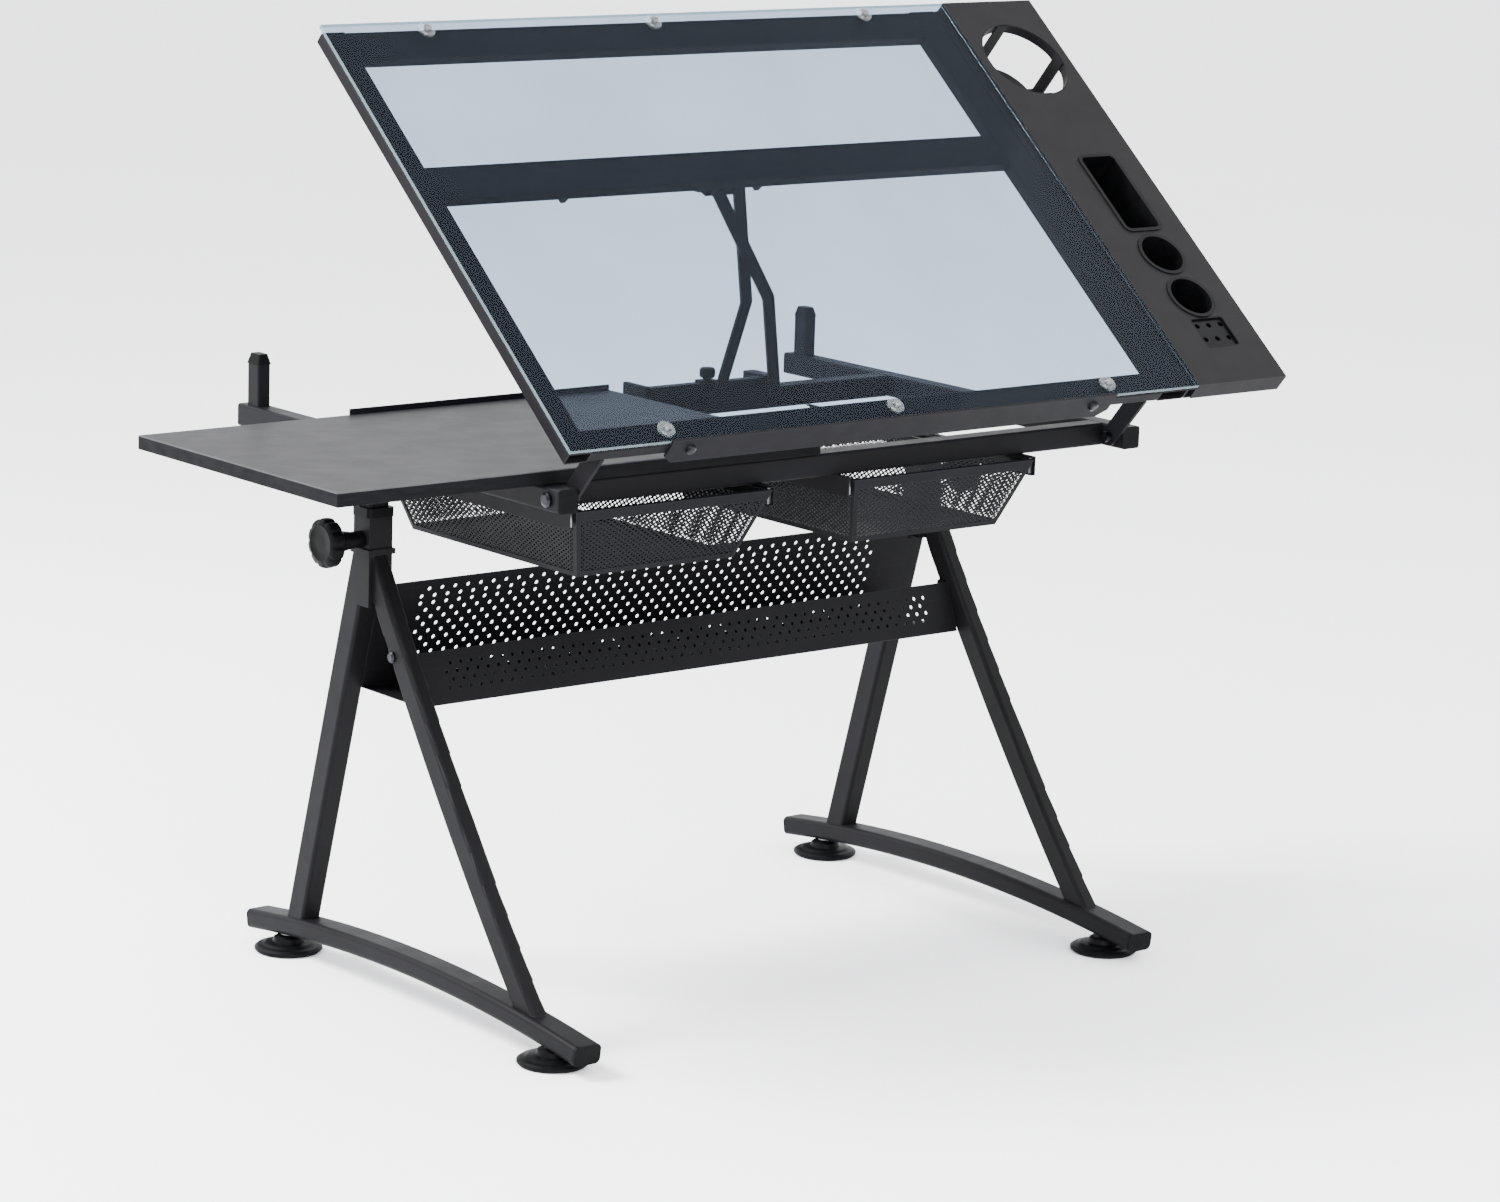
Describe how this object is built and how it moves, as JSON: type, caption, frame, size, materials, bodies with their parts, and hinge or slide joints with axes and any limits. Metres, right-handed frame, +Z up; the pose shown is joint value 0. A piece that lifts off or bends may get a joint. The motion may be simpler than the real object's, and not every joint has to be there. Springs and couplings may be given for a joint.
{
  "type": "drafting table",
  "caption": "Drafting table with a tilting glass top, side board, tool tray, mesh drawers and a perforated shelf on two A-frames with height knobs.",
  "frame": {"origin": "floor, under the middle of the table's bounding box", "axes": "+Z up, -Y towards the person who sits at it, +X to their right"},
  "size_m": [1.231, 0.6564, 1.0432],
  "materials": {
    "black_steel": "satin powder coat",
    "tray_steel": "satin powder coat",
    "mesh_steel": "satin powder coat",
    "black_plastic": "matte",
    "board": "dark grey laminate",
    "glass": "clear",
    "clear_plastic": "clear",
    "bright_steel": "zinc plated"
  },
  "bodies": {
    "base": {"foot_bar_left": "black_steel", "foot_bar_right": "black_steel", "rear_leg_left": "black_steel", "rear_leg_right": "black_steel", "front_leg_left": "black_steel", "front_leg_right": "black_steel", "post_sleeve_left": "black_steel", "post_sleeve_right": "black_steel", "foot_bar_plugs": "black_plastic", "foot_inserts": "bright_steel", "sleeve_collars": "black_plastic", "shelf_trough": "black_steel", "shelf_bolts": "bright_steel"},
    "top_frame": {"inner_post_left": "black_steel", "inner_post_right": "black_steel", "side_rail_left": "black_steel", "side_rail_right": "black_steel", "front_cross_rail": "black_steel", "rear_cross_rail": "black_steel", "rail_end_caps": "black_plastic", "rest_caps": "black_plastic", "side_board": "board", "board_stop": "black_steel", "hinge_bolts": "bright_steel", "drawer_channels": "black_steel", "tension_spring": "bright_steel", "lift_guide": "black_steel"},
    "tilt_top": {"glass_panel": "glass", "frame_side_left": "black_steel", "frame_side_right": "black_steel", "frame_lower": "black_steel", "frame_upper": "black_steel", "frame_middle": "black_steel", "tray_mount_bar": "black_steel", "glass_clips": "clear_plastic", "clip_screws": "bright_steel", "stop_ledge": "black_steel", "ledge_bolts": "bright_steel", "tool_tray": "tray_steel", "pen_insert": "black_plastic", "pot_inserts": "black_plastic", "tool_pad": "black_plastic", "cup_holder": "black_steel", "upper_rod": "bright_steel"},
    "foot_front_left": {"levelling_foot_front_left": "black_plastic"},
    "foot_front_right": {"levelling_foot_front_right": "black_plastic"},
    "foot_rear_left": {"levelling_foot_rear_left": "black_plastic"},
    "foot_rear_right": {"levelling_foot_rear_right": "black_plastic"},
    "knob_left": {"height_knob_left": "black_plastic"},
    "drawer_left": {"drawer_basket_left": "mesh_steel", "drawer_slides_left": "bright_steel"},
    "knob_right": {"height_knob_right": "black_plastic"},
    "drawer_right": {"drawer_basket_right": "mesh_steel", "drawer_slides_right": "bright_steel"},
    "lift_carriage": {"lift_carriage": "black_steel"},
    "lift_swivel": {"lift_swivel": "black_steel"},
    "lift_arm_short": {"lift_arm_short": "black_steel"},
    "lift_arm_long": {"lift_arm_long": "black_steel"},
    "lift_slider": {"lift_slider": "black_steel"},
    "lift_clamp_knob": {"lift_clamp_knob": "black_plastic"}
  },
  "joints": [
    {"name": "height_slide", "type": "slide", "parent": "base", "child": "top_frame", "axis": [0, 0, 1], "range_m": [0, 0.06]},
    {"name": "top_tilt", "type": "hinge", "parent": "top_frame", "child": "tilt_top", "pos_m": [0.0345, -0.25275, 0.5955], "axis": [1, 0, 0], "range_deg": [-40, 0]},
    {"name": "carriage_slide", "type": "slide", "parent": "tilt_top", "child": "lift_carriage", "axis": [1, 0, 0], "range_m": [-0.14925, 0.0005]},
    {"name": "swivel_turn", "type": "hinge", "parent": "lift_carriage", "child": "lift_swivel", "pos_m": [0.0445, 0.00349, 0.87056], "axis": [1, 0, 0], "range_deg": [-0.5, 15.45]},
    {"name": "arm_short_turn", "type": "hinge", "parent": "lift_swivel", "child": "lift_arm_short", "pos_m": [0.0605, -0.01285, 0.86301], "axis": [0, 0.9077, 0.4196], "range_deg": [-71.11, 0.5]},
    {"name": "arm_long_turn", "type": "hinge", "parent": "lift_swivel", "child": "lift_arm_long", "pos_m": [0.0285, -0.01693, 0.86112], "axis": [0, 0.9077, 0.4196], "range_deg": [-52.98, 0.5]},
    {"name": "slider_slide", "type": "slide", "parent": "top_frame", "child": "lift_slider", "axis": [1, 0, 0], "range_m": [-0.0005, 0.06545]},
    {"name": "clamp_knob_turn", "type": "hinge", "parent": "lift_slider", "child": "lift_clamp_knob", "pos_m": [0.1295, 0.12025, 0.634], "axis": [0, 0, 1], "continuous": true},
    {"name": "knob_turn_left", "type": "hinge", "parent": "base", "child": "knob_left", "pos_m": [-0.3955, 0.07775, 0.498], "axis": [1, 0, 0], "continuous": true},
    {"name": "drawer_slide_left", "type": "slide", "parent": "top_frame", "child": "drawer_left", "axis": [0, -1, 0], "range_m": [0, 0.25]},
    {"name": "foot_turn_front_left", "type": "hinge", "parent": "base", "child": "foot_front_left", "pos_m": [-0.3555, -0.26675, 0.025], "axis": [0, 0, 1], "continuous": true},
    {"name": "foot_turn_rear_left", "type": "hinge", "parent": "base", "child": "foot_rear_left", "pos_m": [-0.3555, 0.23325, 0.025], "axis": [0, 0, 1], "continuous": true},
    {"name": "knob_turn_right", "type": "hinge", "parent": "base", "child": "knob_right", "pos_m": [0.4645, 0.07775, 0.498], "axis": [1, 0, 0], "continuous": true},
    {"name": "drawer_slide_right", "type": "slide", "parent": "top_frame", "child": "drawer_right", "axis": [0, -1, 0], "range_m": [0, 0.25]},
    {"name": "foot_turn_front_right", "type": "hinge", "parent": "base", "child": "foot_front_right", "pos_m": [0.4245, -0.26675, 0.025], "axis": [0, 0, 1], "continuous": true},
    {"name": "foot_turn_rear_right", "type": "hinge", "parent": "base", "child": "foot_rear_right", "pos_m": [0.4245, 0.23325, 0.025], "axis": [0, 0, 1], "continuous": true}
  ],
  "couplings": [
    {"joint": "carriage_slide", "follows": "top_tilt", "m_per_rad": 0.21307},
    {"joint": "swivel_turn", "follows": "top_tilt", "ratio": -0.37364},
    {"joint": "arm_short_turn", "follows": "top_tilt", "ratio": 1.7653},
    {"joint": "arm_long_turn", "follows": "top_tilt", "ratio": 1.3121},
    {"joint": "slider_slide", "follows": "top_tilt", "m_per_rad": -0.093031}
  ]
}
